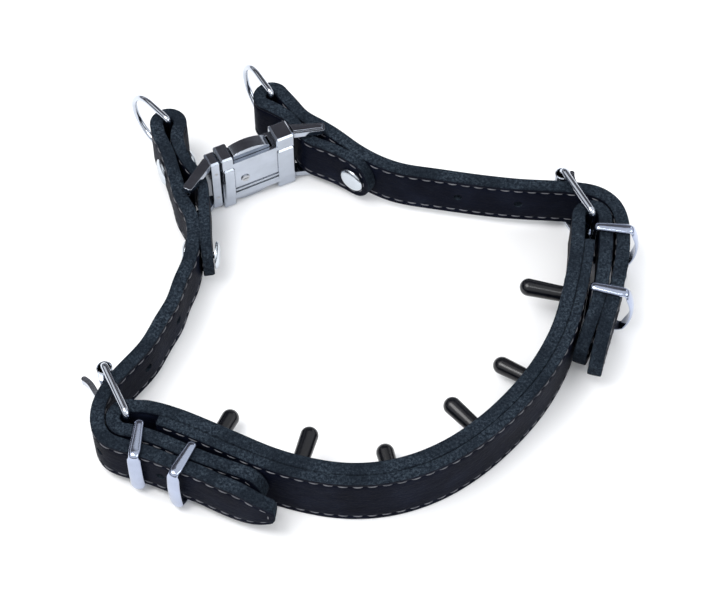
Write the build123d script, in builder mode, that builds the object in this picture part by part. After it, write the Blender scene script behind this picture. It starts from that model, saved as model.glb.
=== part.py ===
from build123d import *
from math import atan, cos, radians, sin
import os

# Leather collar with blunt prongs inside its front band, lying on its lower edge as a closed loop.
# Plan coordinates are in mm, with +X to the right and +Y to the back, and every strap stands on edge.
# The plan is drawn about its own zero, and PLAN moves it so that the loop is centred on the origin.

os.makedirs("parts", exist_ok=True)

PLAN_CENTRE = (3.44, -0.3)
PLAN = Plane(origin=(-PLAN_CENTRE[0], -PLAN_CENTRE[1], 0))

# Leather
STRAP_LOW = 5.5          # lower edge of the 25 mm straps
STRAP_TOP = 30.5         # upper edge of the 25 mm straps
STRAP_MIDDLE = (STRAP_LOW + STRAP_TOP) / 2
STRAP_THICK = 6.4
RETURN_THICK = 5.2       # a strap's end is thinned where it folds back on itself
BAND_HEIGHT = 32.0
LINER_THICK = 6.3
OUTER_THICK = 4.7
GLUE_GAP = 0.1           # left between leather layers that lie on each other
BAND_THICK = LINER_THICK + GLUE_GAP + OUTER_THICK
NECK_LONG = 5.0          # the liner is as narrow as the straps this far from its folds
FOLD_SHARE = 0.27        # share of a fold's path that turns round the heel bar
OUTER_START = 14.5       # the outer strap ends this far short of the band's left end
OUTER_STOP = 13.5        # and this far short of its right end
FOLD_HOLE = 3.1          # inner radius of the liner's fold round a heel bar
LOOP_HOLE = 2.6          # inner radius of a strap's loop round a D-ring
STATIONS = 26            # places at which a curve is moved sideways

# Roller buckles
WIRE = 1.7               # radius of the frame's wire
FRAME_LONG = 28.0        # heel bar to end bar, centre to centre
FRAME_HIGH = 30.4        # rail to rail, centre to centre
FRAME_CORNER = 2.2
RUNNING_GAP = 0.08
ROLLER_RADIUS = 3.6
ROLLER_LONG = 25.4
TONGUE_HIGH = 3.6
TONGUE_THICK = 2.6
TONGUE_EYE = 3.2
TONGUE_ARM = [(1.5, 1.6), (10, 3.4), (18, 5.6), (25, 6.8), (29, 7.3), (33, 9.0)]
# Slots that the tongue passes through: reach along the frame and width outwards from the heel bar
TONGUE_SLOT = 5.6
LINER_SLOT = ((0, 16), (-4.5, 8.0))
STRAP_SLOT = ((4, 24), (0.7, 12.0))

# Keepers
KEEPER_WIDE = 5.4
KEEPER_THICK = 1.5
KEEPER_ROUND = 0.9
KEEPER_HIGH = 27.0       # clear height inside

# D-rings
D_WIRE = 1.5
D_INSIDE = 26.2
D_REACH = 27.5           # bar to crown, centre to centre

# Prongs
PRONG_PITCH = 42.5
FIRST_PRONG = 38.5       # along the band's inner face, from its left end
PRONG_LOW = 9.5
PRONG_HIGH = 21.5
PRONG_PIN = 1.5
PRONG_HOLE = 1.55
PRONG_PIN_LONG = 15.5
FLANGE_RADIUS = 6.0
FLANGE_THICK = 1.2
CAP_RADIUS = 4.1
CAP_LONG = 20.0
CAP_FOOT = 3.7
CAP_SKIRT = 1.0
CAP_LIFT = 0.2           # the foot stays off the curved face by this much

# Side-release buckle, in its own plan: x from the plug's shoulder into the housing, y away from the neck
BUCKLE_MIDDLE = 18.5
BUCKLE_HALF = 18.5
BUCKLE_THICK = 12.5
BLOCK_PLUG = 6.3
BLOCK_STRAP = 29.0
HOUSING_LONG = 38.3
PLATE_FRONT = 0.9
PLATE_THICK = 1.8
PLATE_HALF = 13.5
CAVITY_HALF = 3.5
MOUTH_HALF = 16.2
RAIL_THICK = 3.0
BAR_RADIUS = 1.7
ARM_HALF = 3.25
ARM_PIVOT = (-2.6, 9.0)
ARM_PIN = 0.8
ARM_EYE = 2.0
ARM_UNDER = [(8, 9.4), (26, 10.2), (26, 15.4)]
ARM_CROWN = (16, 18.4)
ARM_BACK = [(7.2, 16.9), (7.2, 12.6), (2, 11.0)]
ARM_PLAY = 0.15
PLUG_BASE = (-5.4, -0.3)
PLUG_DEEP = (2.0, 10.5)
PLUG_HALF = 17.2
PLUG_SKIN = 0.6
POCKET = (6.2, 12.0)     # heights of the plug's pockets for the arms' eyes
SLOT_HALF = 13.6
RAIL_CORNER = 1.2
RIDGE_INSET = 1.0
RIDGE_HIGH = 0.7
RIDGE_TAPER = 30
RAIL_ROOT = 6.6          # depth of a rail at its root and at its tip
RAIL_TIP = 4.6
# Root of the rails, middle of the bar and end of the rails
HOUSING_RAILS = ((37.9, 6.3), (51.1, 1.14), (54.2, 0.3))
PLUG_RAILS = ((-5.0, 6.0), (-18.2, -3.3), (-20.6, -4.9))
WINDOW_END = 27.6
CASE_CHAMFER = 0.5
CASE_SLOPE = 1.0         # height over which a block's ends slope off
CASE_TAPER = 42
SHOULDER = 11.0          # the blocks' raised faces end here
SHOULDER_INSET = 0.6
RIBS = (-6.8, -9.4)
RIB_HIGH = 0.9
RIB_RISE = 0.5
GUIDE_HALF = 1.7
GUIDE_HIGH = 3.0
GUIDE_END = 17.0
SCREW_PLACE = (11.7, 0.9, 0)
SCREW_HEAD = 2.1
SCREW_SHANK = 1.1
SCREW_SINK = 0.6
SCREW_PLAY = 0.04
SCREW_SLOT = (2.6, 0.5, 0.5)
SCREW_LONG = 2.7
SPRING_PLACE = 21.0
SPRING_LONG = 18.4
SPRING_RADIUS = 2.1
SPRING_WIRE = 0.35
SPRING_TURNS = 7

# Rivets
RIVET_SHANK = 1.6
RIVET_RIM = 0.6
RIVET_DOME = 1.3

# Plan curves. Each runs through the middle of its leather, except BAND_INNER, the band's face at the neck.
BAND_INNER = [
    (-101.5, -72.9), (-88, -75.6), (-74, -80.8), (-61, -87), (-47.6, -93.6), (-36, -98.8), (-22, -103.2),
    (-4, -106), (18, -103.3), (35, -96), (51.5, -84), (63, -72.6), (74, -59), (83.4, -43.2),
    (88.6, -31), (92.4, -18), (96, -3), (98.7, 12), (100.2, 27.3),
]
LEFT_CHAPE = [(-102, -88.55), (-90, -92.2), (-78, -97.8), (-66, -103.2), (-54, -107.9), (-40.5, -113.4)]
RIGHT_CHAPE = [(115.85, 27.3), (115.5, 14), (113.6, 0), (110.6, -15.2), (104, -35), (100.2, -44.5)]
LEFT_STRAP = [
    (-98.3, 82.1), (-96.6, 76), (-93.6, 69.5), (-90.9, 62), (-88.6, 54), (-86.8, 48), (-85.5, 42.5),
    (-83, 36.5), (-80, 30.5), (-78, 24), (-77.3, 17), (-77.7, 9), (-79.4, 0), (-82.3, -9), (-85, -19.7),
    (-89.6, -30.2), (-95.5, -43.5), (-103, -54.1), (-111.8, -67.3), (-114.7, -75.4), (-115.2, -82),
    (-113.5, -88.8), (-109.6, -93.4), (-104.9, -95.6), (-100, -97.2), (-91.2, -100.2), (-82.1, -104.1),
    (-69.2, -109.6), (-60.2, -114.2), (-51.4, -118.2), (-42.5, -121.8), (-36, -123),
]
LEFT_INNER = [
    (-87.1, 82.1), (-88.1, 76.5), (-87, 70.5), (-84.4, 64), (-81, 58), (-77, 52.5), (-74.6, 47), (-73.7, 40),
    (-73.2, 32), (-72.4, 23.5), (-71.7, 14), (-70.2, 5),
]
RIGHT_STRAP = [
    (-38.4, 103.6), (-31.4, 93.9), (-27.8, 89.1), (-20.8, 83.8), (-11.1, 76.5), (-3.8, 69.9), (4, 63.8),
    (18.3, 56.4), (33.4, 53), (57.3, 48.8), (76.2, 46.4), (91.2, 45.4), (104.8, 44.1), (113, 41.8),
    (120.5, 35), (123.4, 26), (123.5, 15.5), (122.3, 5), (118.5, -11.6), (111, -35.8), (106.8, -51),
]
RIGHT_INNER = [
    (-46.2, 95.9), (-40.5, 92.6), (-36, 89.3), (-31.5, 84.2), (-27.9, 78.5), (-24, 73.9), (-17.6, 70.5),
    (-7.8, 65.2), (-2.5, 61.5), (2.5, 57.8), (6, 54.8),
]

LEFT_LOOP = (-92.7, 83.6)
RIGHT_LOOP = (-43.0, 100.4)
LEFT_LOOP_TURN = (-15, 210)   # start and extent of each loop's arc, in degrees
RIGHT_LOOP_TURN = (35, 200)
LEFT_HEEL = (-102.0, -82.3)
LEFT_AIM = (-0.42, 0.9075)
RIGHT_HEEL = (109.6, 27.3)
RIGHT_AIM = (-0.443, 0.8965)
# Each roller buckle: its heel bar, the direction of its frame and the side on which the tongue rides
SIDES = [("left", LEFT_HEEL, LEFT_AIM, 1), ("right", RIGHT_HEEL, RIGHT_AIM, -1)]
LEFT_RING_AIM = (-0.675, 0.738)
RIGHT_RING_AIM = (-0.507, 0.862)
BUCKLE_CORNER = (-65.0, 53.0)
BEND_START = 0.346       # share of the left strap's length at which its free bend begins
BEND_END = 0.452
CUT_GAP = 0.1
LEFT_HOLES = (0.53, 0.66, 0.79, 0.87)
RIGHT_HOLES = (0.35, 0.44)
# Name, place, direction, leather gripped and head radius of each rivet
LEFT_RIVETS = [
    ("left_loop_rivet", (-88.3, 65.4), (-0.94, -0.34), 14.5, 6.5),
    ("left_tail_rivet", (-74.36, 13.5), (-1.0, 0.03), 13.7, 6.5),
]
RIGHT_RIVETS = [
    ("right_loop_rivet", (-33.96, 91.18), (0.783, 0.622), 15.1, 5.3),
    ("right_tail_rivet", (0.59, 63.23), (0.628, 0.778), 12.8, 6.5),
]
BUCKLE_AIM = (0.8965, 0.443)
# Name, place, angle of the outward side, clear length and bow of each keeper
KEEPERS = [
    ("left_keeper_1", (-96.9, -94.2), -95.0, 17.6, 1.0),
    ("left_keeper_2", (-76.2, -104.2), -117.0, 17.0, 1.0),
    ("right_keeper_1", (119.2, 19.3), -6.0, 15.8, 3.4),
    ("right_keeper_2", (114.6, -15.5), -14.0, 15.6, 3.4),
]


def plane_at(place, height, x_dir, z_dir):
    """Plane whose origin is a plan place at a height."""
    origin = (place[0] - PLAN_CENTRE[0], place[1] - PLAN_CENTRE[1], height)
    return Plane(origin=origin, x_dir=x_dir, z_dir=z_dir)


def station(place, aim, height):
    """Level plane at a plan place: local x along aim, local y to its left."""
    return plane_at(place, height, (aim[0], aim[1], 0), (0, 0, 1))


def upright(place, aim, height):
    """Plane that stands on edge: local x along aim, local y up."""
    return plane_at(place, height, (aim[0], aim[1], 0), (aim[1], -aim[0], 0))


def across(place, aim, height):
    """Plane that faces along aim: local x to the right of aim, local y up."""
    return plane_at(place, height, (aim[1], -aim[0], 0), (aim[0], aim[1], 0))


BUCKLE = station(BUCKLE_CORNER, BUCKLE_AIM, BUCKLE_MIDDLE)


def curve(points):
    """Smooth plan curve through points."""
    return Spline(*points, mode=Mode.PRIVATE)


def beside(path, near, far, start, end):
    """Places beside a plan curve, to its left: near at the start, and far from a third of the way on."""
    places = []
    for i in range(STATIONS + 1):
        share = start + (end - start) * i / STATIONS
        distance = near + (far - near) * min(1, 3 * i / STATIONS)
        here = path.position_at(share)
        aim = path.tangent_at(share)
        places.append((here.X - aim.Y * distance, here.Y + aim.X * distance))
    return places


def ribbon(path, side_a, side_b, start=0.0, end=1.0, thin=0.0):
    """Face between two curves beside a path, which may grow thinner by twice the given amount."""
    first = beside(path, side_a, side_a - thin, start, end)
    second = beside(path, side_b, side_b + thin, start, end)
    with BuildSketch() as face:
        with BuildLine():
            Spline(*first)
            Line(first[-1], second[-1])
            Spline(*second[::-1])
            Line(second[0], first[0])
        make_face()
    return face.sketch


def bent_strip(centre, hole, start_angle, turn):
    """Face of a strap bent round a centre, with a hole of the given radius inside it."""
    with BuildSketch() as face:
        with BuildLine():
            a = CenterArc(centre, hole, start_angle, turn)
            b = CenterArc(centre, hole + STRAP_THICK, start_angle, turn)
            Line(a @ 0, b @ 0)
            Line(a @ 1, b @ 1)
        make_face()
    return face.sketch


def save(piece, name):
    """Label a finished piece and write it."""
    piece.part.label = name
    export_step(piece.part, f"parts/{name}.step")


band = curve(BAND_INNER)
BAND_LENGTH = band.length


def make_outer_strap():
    """The band's outer layer, a plain strap that ends short of both folds."""
    left = OUTER_START / BAND_LENGTH
    right = 1 - OUTER_STOP / BAND_LENGTH
    with BuildPart() as outer_strap:
        with BuildSketch(PLAN):
            add(ribbon(band, -LINER_THICK - GLUE_GAP, -BAND_THICK, left, right))
        extrude(amount=BAND_HEIGHT)
        for place in prong_places():
            with Locations(flange_plane(place)):
                Cylinder(FLANGE_RADIUS + GLUE_GAP, FLANGE_THICK + 3 * GLUE_GAP, mode=Mode.SUBTRACT)
    save(outer_strap, "outer_strap")


def prong_places():
    """Share along the band and height of each prong, in two staggered rows."""
    places = []
    for i in range(6):
        share = (FIRST_PRONG + PRONG_PITCH * i) / BAND_LENGTH
        places.append((share, PRONG_HIGH if i % 2 else PRONG_LOW))
    return places


def prong_plane(place, depth):
    """Plane across a prong at a depth from the band's inner face, its z pointing at the neck."""
    share, height = place
    here = band.position_at(share)
    aim = band.tangent_at(share)
    inward = (-aim.Y, aim.X)
    place = (here.X - inward[0] * depth, here.Y - inward[1] * depth)
    return across(place, inward, height)


def flange_plane(place):
    """Plane through the middle of a prong's flange, which lies in the outer strap's inner side."""
    return prong_plane(place, LINER_THICK + GLUE_GAP + FLANGE_THICK / 2)


def fold_path(share, heel, angles, leg):
    """Middle line of the liner from one end of the band, round the heel bar and back along the leg."""
    here = band.position_at(share)
    aim = band.tangent_at(share) * (2 * share - 1)
    side = LINER_THICK / 2 * (2 * share - 1)
    start = (here.X + aim.Y * side, here.Y - aim.X * side)
    middle = FOLD_HOLE + LINER_THICK / 2
    bend = [(heel[0] + middle * cos(radians(a)), heel[1] + middle * sin(radians(a))) for a in angles]
    finish = (Vector(*leg[-1]) - Vector(*leg[-2])).normalized()
    return Spline(start, *bend, *leg, tangents=(aim, finish), tangent_scalars=(1, 1), mode=Mode.PRIVATE)


def make_inner_strap():
    """The band's inner layer, folded back round both heel bars as a chape on the outside."""
    half = LINER_THICK / 2
    folds = (
        fold_path(0, LEFT_HEEL, (135, 180, 225), LEFT_CHAPE),
        fold_path(1, RIGHT_HEEL, (135, 90, 45), RIGHT_CHAPE),
    )
    with BuildPart() as inner_strap:
        with BuildSketch(PLAN):
            add(ribbon(band, 0, -LINER_THICK))
        extrude(amount=BAND_HEIGHT)
        for share in (0, 1):
            here = band.position_at(share)
            aim = band.tangent_at(share)
            with Locations(station((here.X, here.Y), (aim.X, aim.Y), 0)):
                Box(2 * NECK_LONG, 3 * LINER_THICK, 2 * STRAP_LOW, mode=Mode.SUBTRACT)
            with Locations(station((here.X, here.Y), (aim.X, aim.Y), BAND_HEIGHT)):
                Box(2 * NECK_LONG, 3 * LINER_THICK, 2 * (BAND_HEIGHT - STRAP_TOP), mode=Mode.SUBTRACT)
        with BuildSketch(PLAN.offset(STRAP_LOW)):
            for fold in folds:
                add(ribbon(fold, half, -half, 0, FOLD_SHARE))
                add(ribbon(fold, half, -half, FOLD_SHARE, 1))
        extrude(amount=STRAP_TOP - STRAP_LOW)
        for _, heel, aim, out in SIDES:
            with Locations(station(heel, aim, STRAP_MIDDLE)):
                Cylinder(TONGUE_EYE + 1, TONGUE_SLOT, mode=Mode.SUBTRACT)
            tongue_slot(heel, aim, out, *LINER_SLOT)
        for place in prong_places():
            with Locations(prong_plane(place, LINER_THICK / 2)):
                Cylinder(PRONG_HOLE, 2 * LINER_THICK, mode=Mode.SUBTRACT)
    save(inner_strap, "inner_strap")


def make_prongs():
    """Six prongs: a flanged metal pin held between the band's layers, with a rubber cap pushed over it."""
    depth = LINER_THICK + GLUE_GAP + FLANGE_THICK
    for i, place in enumerate(prong_places(), 1):
        with BuildPart() as pin:
            with BuildSketch(prong_plane(place, depth)):
                Circle(FLANGE_RADIUS)
            extrude(amount=FLANGE_THICK)
            with BuildSketch(prong_plane(place, depth)):
                Circle(PRONG_PIN)
            extrude(amount=depth + PRONG_PIN_LONG)
        save(pin, f"prong_pin_{i}")
        with BuildPart() as cap:
            with BuildSketch(prong_section(place)):
                with BuildLine():
                    skirt = Polyline((0, CAP_LIFT), (CAP_FOOT, CAP_LIFT), (CAP_FOOT, CAP_SKIRT),
                                     (CAP_RADIUS, CAP_LONG - CAP_RADIUS))
                    tip = JernArc(skirt @ 1, (0, 1), CAP_RADIUS, 90)
                    Line(tip @ 1, (0, CAP_LIFT))
                make_face()
            revolve(axis=Axis(prong_section(place).origin, prong_section(place).y_dir))
            with Locations(prong_plane(place, -PRONG_PIN_LONG / 2)):
                Cylinder(PRONG_PIN + 0.02, PRONG_PIN_LONG + 0.1, mode=Mode.SUBTRACT)
        save(cap, f"prong_cap_{i}")


def prong_section(place):
    """Plane through a prong's axis: local x across it, local y along it towards the neck."""
    face = prong_plane(place, 0)
    return Plane(origin=face.origin, x_dir=face.x_dir, z_dir=face.x_dir.cross(face.z_dir))


def make_frame(name, heel, aim):
    """Bent-wire frame of a roller buckle."""
    plane = upright(heel, aim, STRAP_MIDDLE)
    high = FRAME_HIGH / 2
    with BuildPart() as frame:
        with BuildLine(plane) as wire:
            FilletPolyline((0, 0), (0, high), (FRAME_LONG, high), (FRAME_LONG, 0), radius=FRAME_CORNER)
            FilletPolyline((FRAME_LONG, 0), (FRAME_LONG, -high), (0, -high), (0, 0), radius=FRAME_CORNER)
        with BuildSketch(Plane(origin=wire.line @ 0, z_dir=wire.line % 0)):
            Circle(WIRE)
        sweep()
    save(frame, name)


def make_roller(name, heel, aim):
    """Tube that turns on the frame's end bar."""
    end = (heel[0] + aim[0] * FRAME_LONG, heel[1] + aim[1] * FRAME_LONG)
    with BuildPart() as roller:
        with BuildSketch(station(end, aim, STRAP_MIDDLE - ROLLER_LONG / 2)):
            Circle(ROLLER_RADIUS)
            Circle(WIRE + RUNNING_GAP, mode=Mode.SUBTRACT)
        extrude(amount=ROLLER_LONG)
        fillet(roller.edges().filter_by(GeomType.CIRCLE).group_by(SortBy.RADIUS)[-1], 0.4)
    save(roller, name)


def make_tongue(name, heel, aim, out):
    """Tongue: an eye round the heel bar and a curved arm that rides out over the roller."""
    arm = curve([(x, y * out) for x, y in TONGUE_ARM])
    tip = TONGUE_ARM[-1]
    with BuildPart() as tongue:
        with BuildSketch(station(heel, aim, STRAP_MIDDLE - TONGUE_HIGH / 2)):
            add(ribbon(arm, TONGUE_THICK / 2, -TONGUE_THICK / 2))
            Circle(TONGUE_EYE)
            with Locations((tip[0], tip[1] * out)):
                Circle(TONGUE_THICK / 2)
            Circle(WIRE + RUNNING_GAP, mode=Mode.SUBTRACT)
        extrude(amount=TONGUE_HIGH)
    save(tongue, name)


def make_keeper(name, centre, angle, length, bow):
    """Metal strip bent into a loop round the chape and the strap's tail; its angle points outwards."""
    half = length / 2
    high = KEEPER_HIGH / 2
    outward = (cos(radians(angle)), sin(radians(angle)))
    section = upright(centre, outward, STRAP_MIDDLE)
    with BuildPart() as keeper:
        with BuildSketch(section):
            with BuildLine():
                Polyline((half, high), (-half, high), (-half, -high), (half, -high))
                ThreePointArc((half, -high), (half + bow, 0), (half, high))
            make_face()
            offset(amount=KEEPER_THICK, kind=Kind.ARC)
            with BuildLine():
                Polyline((half, high), (-half, high), (-half, -high), (half, -high))
                ThreePointArc((half, -high), (half + bow, 0), (half, high))
            make_face(mode=Mode.SUBTRACT)
        extrude(amount=KEEPER_WIDE / 2, both=True)
        sides = keeper.faces().sort_by(Axis((0, 0, 0), section.z_dir))
        fillet(sides[0].outer_wire().edges() + sides[-1].outer_wire().edges(), KEEPER_ROUND)
    save(keeper, name)


def make_d_ring(name, bar, aim):
    """Welded D-ring: a straight bar in the leather loop and a round bow."""
    high = (D_INSIDE + 2 * D_WIRE) / 2
    plane = upright(bar, aim, STRAP_MIDDLE)
    with BuildPart() as ring:
        with BuildLine(plane) as wire:
            FilletPolyline((0, 0), (0, high), (D_REACH - high, high), radius=2.0)
            CenterArc((D_REACH - high, 0), high, 90, -180)
            FilletPolyline((D_REACH - high, -high), (0, -high), (0, 0), radius=2.0)
        with BuildSketch(Plane(origin=wire.line @ 0, z_dir=wire.line % 0)):
            Circle(D_WIRE)
        sweep()
    save(ring, name)


def tongue_slot(heel, aim, out, reach, width):
    """Cut that lets the tongue through the leather, with room for it to lift."""
    with Locations(station(heel, aim, STRAP_MIDDLE)):
        with Locations(((reach[0] + reach[1]) / 2, out * (width[0] + width[1]) / 2)):
            Box(reach[1] - reach[0], width[1] - width[0], TONGUE_SLOT, mode=Mode.SUBTRACT)


def punched(path, share, radius=2.0):
    """Adjusting hole through a strap."""
    here = path.position_at(share)
    aim = path.tangent_at(share)
    with Locations(across((here.X, here.Y), (-aim.Y, aim.X), STRAP_MIDDLE)):
        Cylinder(radius, 2 * STRAP_THICK, mode=Mode.SUBTRACT)


def through(centre, aim, radius):
    """Round hole right through the straps at a rivet."""
    with Locations(across(centre, aim, STRAP_MIDDLE)):
        Cylinder(radius, 3 * STRAP_THICK, mode=Mode.SUBTRACT)


def make_left_strap():
    """The left strap in three stretches: side and tail, a bend that gives, and the looped rear end."""
    half = STRAP_THICK / 2
    main = curve(LEFT_STRAP)
    inner = curve(LEFT_INNER)
    gap = CUT_GAP / main.length
    with BuildPart() as left_strap_front:
        with BuildSketch(PLAN.offset(STRAP_LOW)):
            add(ribbon(main, half, -half, BEND_END, 0.72))
            add(ribbon(main, half, -half, 0.72, 1.0))
        extrude(amount=STRAP_TOP - STRAP_LOW)
        tongue_slot(LEFT_HEEL, LEFT_AIM, 1, *STRAP_SLOT)
        for share in LEFT_HOLES:
            punched(main, share)
    save(left_strap_front, "left_strap_front")
    with BuildPart() as left_strap_bend:
        with BuildSketch(PLAN.offset(STRAP_LOW)):
            add(ribbon(main, half, -half, BEND_START + gap, BEND_END - gap))
        extrude(amount=STRAP_TOP - STRAP_LOW)
    save(left_strap_bend, "left_strap_bend")
    with BuildPart() as left_strap_rear:
        with BuildSketch(PLAN.offset(STRAP_LOW)):
            add(ribbon(main, half, -half, 0.0, BEND_START))
            add(bent_strip(LEFT_LOOP, LOOP_HOLE, *LEFT_LOOP_TURN))
            add(ribbon(inner, half, -half, thin=half - RETURN_THICK / 2))
        extrude(amount=STRAP_TOP - STRAP_LOW)
        for _, centre, aim, _, _ in LEFT_RIVETS:
            through(centre, aim, RIVET_SHANK)
    save(left_strap_rear, "left_strap_rear")


def make_right_strap():
    """The right strap: tail, side, loop round the D-ring and return through the housing's slot."""
    half = STRAP_THICK / 2
    main = curve(RIGHT_STRAP)
    inner = curve(RIGHT_INNER)
    with BuildPart() as right_strap:
        with BuildSketch(PLAN.offset(STRAP_LOW)):
            add(ribbon(main, half, -half, 0.0, 0.5))
            add(ribbon(main, half, -half, 0.5, 1.0))
            add(bent_strip(RIGHT_LOOP, LOOP_HOLE, *RIGHT_LOOP_TURN))
            add(ribbon(inner, half, -half, thin=half - RETURN_THICK / 2))
        extrude(amount=STRAP_TOP - STRAP_LOW)
        tongue_slot(RIGHT_HEEL, RIGHT_AIM, -1, *STRAP_SLOT)
        for share in RIGHT_HOLES:
            punched(main, share)
        for _, centre, aim, _, _ in RIGHT_RIVETS:
            through(centre, aim, RIVET_SHANK)
    save(right_strap, "right_strap")


def make_rivet(name, centre, aim, grip, radius):
    """Tubular rivet with a domed head on each side."""
    face = across(centre, aim, STRAP_MIDDLE)
    section = Plane(origin=face.origin, x_dir=face.x_dir, z_dir=face.x_dir.cross(face.z_dir))
    seat = grip / 2
    rim = seat + RIVET_RIM
    top = rim + RIVET_DOME
    with BuildPart() as rivet:
        with BuildSketch(section):
            with BuildLine():
                Spline((0, -top), (radius, -rim), tangents=((1, 0), (0.5, 1)))
                Polyline((radius, -rim), (radius, -seat), (RIVET_SHANK, -seat),
                         (RIVET_SHANK, seat), (radius, seat), (radius, rim))
                Spline((radius, rim), (0, top), tangents=((-0.5, 1), (-1, 0)))
                Line((0, top), (0, -top))
            make_face()
        revolve(axis=Axis(section.origin, face.z_dir))
    save(rivet, name)


def block(low, high, mode=Mode.ADD):
    """Box between two corners on the present plane."""
    centre = tuple((a + b) / 2 for a, b in zip(low, high))
    with Locations(centre):
        Box(high[0] - low[0], high[1] - low[1], high[2] - low[2], mode=mode)


def cased(low, high, half):
    """Block of the buckle's plan with cut corners and sloped ends, from -half to half in height."""
    with BuildSketch() as plan:
        with Locations(((low[0] + high[0]) / 2, (low[1] + high[1]) / 2)):
            Rectangle(high[0] - low[0], high[1] - low[1])
        chamfer(plan.vertices(), CASE_CHAMFER)
    flat = half - CASE_SLOPE
    upper = BUCKLE.offset(flat) * plan.sketch
    lower = BUCKLE.offset(-flat) * plan.sketch
    extrude(lower, amount=2 * flat)
    for face, way in ((upper, 1), (lower, -1)):
        extrude(face, amount=CASE_SLOPE, dir=BUCKLE.z_dir * way, taper=CASE_TAPER)


def rails(root, bar, tip):
    """Upper and lower rail of a slot frame, and the bar between their ends."""
    slope = atan((bar[1] - root[1]) / (bar[0] - root[0]))
    for low in (SLOT_HALF, -SLOT_HALF - RAIL_THICK):
        with BuildSketch(BUCKLE.offset(low)) as rail:
            with BuildLine():
                Polyline(
                    (root[0], root[1] + RAIL_ROOT / 2),
                    (root[0], root[1] - RAIL_ROOT / 2),
                    (tip[0] + RAIL_TIP * sin(slope) / 2, tip[1] - RAIL_TIP * cos(slope) / 2),
                    (tip[0] - RAIL_TIP * sin(slope) / 2, tip[1] + RAIL_TIP * cos(slope) / 2),
                    close=True,
                )
            make_face()
            fillet(rail.vertices(), RAIL_CORNER)
        extrude(rail.sketch, amount=RAIL_THICK)
        way = 1 if low > 0 else -1
        with BuildSketch(BUCKLE.offset(way * (SLOT_HALF + RAIL_THICK))) as ridge:
            add(rail.sketch_local)
            offset(amount=-RIDGE_INSET)
        extrude(ridge.sketch, amount=RIDGE_HIGH, dir=BUCKLE.z_dir * way, taper=RIDGE_TAPER)
    with BuildSketch(BUCKLE.offset(-SLOT_HALF - 1)) as round_bar:
        with Locations(bar):
            Circle(BAR_RADIUS)
    extrude(round_bar.sketch, amount=2 * SLOT_HALF + 2)


def make_housing():
    """Female half of the side-release buckle, with its slot frame."""
    with BuildPart(BUCKLE) as housing:
        cased((0, PLATE_FRONT), (BLOCK_PLUG, BUCKLE_THICK - PLATE_FRONT), BUCKLE_HALF)
        cased((BLOCK_STRAP, PLATE_FRONT), (HOUSING_LONG, BUCKLE_THICK - PLATE_FRONT), BUCKLE_HALF)
        block((BLOCK_PLUG - 1, PLATE_FRONT, -PLATE_HALF),
              (BLOCK_STRAP + 1, BUCKLE_THICK - PLATE_FRONT, PLATE_HALF))
        for low, high in ((SHOULDER_INSET, BLOCK_PLUG), (BLOCK_STRAP, HOUSING_LONG - SHOULDER_INSET)):
            cased((low, 0), (high, BUCKLE_THICK), SHOULDER)
        for height in RIBS:
            block((BLOCK_PLUG, PLATE_FRONT - RIB_RISE, height),
                  (BLOCK_STRAP, PLATE_FRONT + 1, height + RIB_HIGH))
        low = BUCKLE_THICK / 2 - CAVITY_HALF
        high = BUCKLE_THICK / 2 + CAVITY_HALF
        block((-1, low, -MOUTH_HALF), (BLOCK_PLUG + 1, high, MOUTH_HALF), Mode.SUBTRACT)
        block((BLOCK_PLUG, low, -BUCKLE_HALF), (WINDOW_END, high, BUCKLE_HALF), Mode.SUBTRACT)
        rails(*HOUSING_RAILS)
        with Locations(Plane(origin=SCREW_PLACE, z_dir=(0, -1, 0))):
            Cylinder(SCREW_HEAD, 2 * SCREW_SINK, mode=Mode.SUBTRACT)
            Cylinder(SCREW_SHANK, 3 * PLATE_THICK, mode=Mode.SUBTRACT)
    save(housing, "buckle_housing")


def make_housing_screw():
    """Small countersunk-style screw in the housing's front plate."""
    face = Plane(origin=BUCKLE.from_local_coords(SCREW_PLACE), z_dir=-BUCKLE.y_dir)
    with BuildPart(face) as screw:
        Cylinder(SCREW_HEAD - SCREW_PLAY, SCREW_SINK, align=(Align.CENTER, Align.CENTER, Align.MIN))
        with Locations((0, 0, SCREW_SINK)):
            Box(*SCREW_SLOT, mode=Mode.SUBTRACT)
        with Locations((0, 0, -SCREW_LONG / 2)):
            Cylinder(SCREW_SHANK - SCREW_PLAY, SCREW_LONG)
    save(screw, "housing_screw")


def make_plug():
    """Male half of the buckle: base, guide tongue and slot frame."""
    base_low, base_high = PLUG_BASE
    middle = BUCKLE_THICK / 2
    with BuildPart(BUCKLE) as plug:
        cased((base_low, PLUG_DEEP[0]), (base_high, PLUG_DEEP[1]), PLUG_HALF)
        block((base_high - 1, middle - GUIDE_HALF, -GUIDE_HIGH), (GUIDE_END, middle + GUIDE_HALF, GUIDE_HIGH))
        wall = ARM_HALF + ARM_PLAY
        for side in (1, -1):
            low, high = sorted((side * POCKET[0], side * POCKET[1]))
            block((base_low + PLUG_SKIN, middle - wall, low),
                  (base_high + 1, middle + wall, high), Mode.SUBTRACT)
            with Locations(Plane(origin=(ARM_PIVOT[0], middle, side * ARM_PIVOT[1]), z_dir=(0, 1, 0))):
                Cylinder(ARM_PIN, BUCKLE_THICK, mode=Mode.SUBTRACT)
        rails(*PLUG_RAILS)
    save(plug, "buckle_plug")


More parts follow.
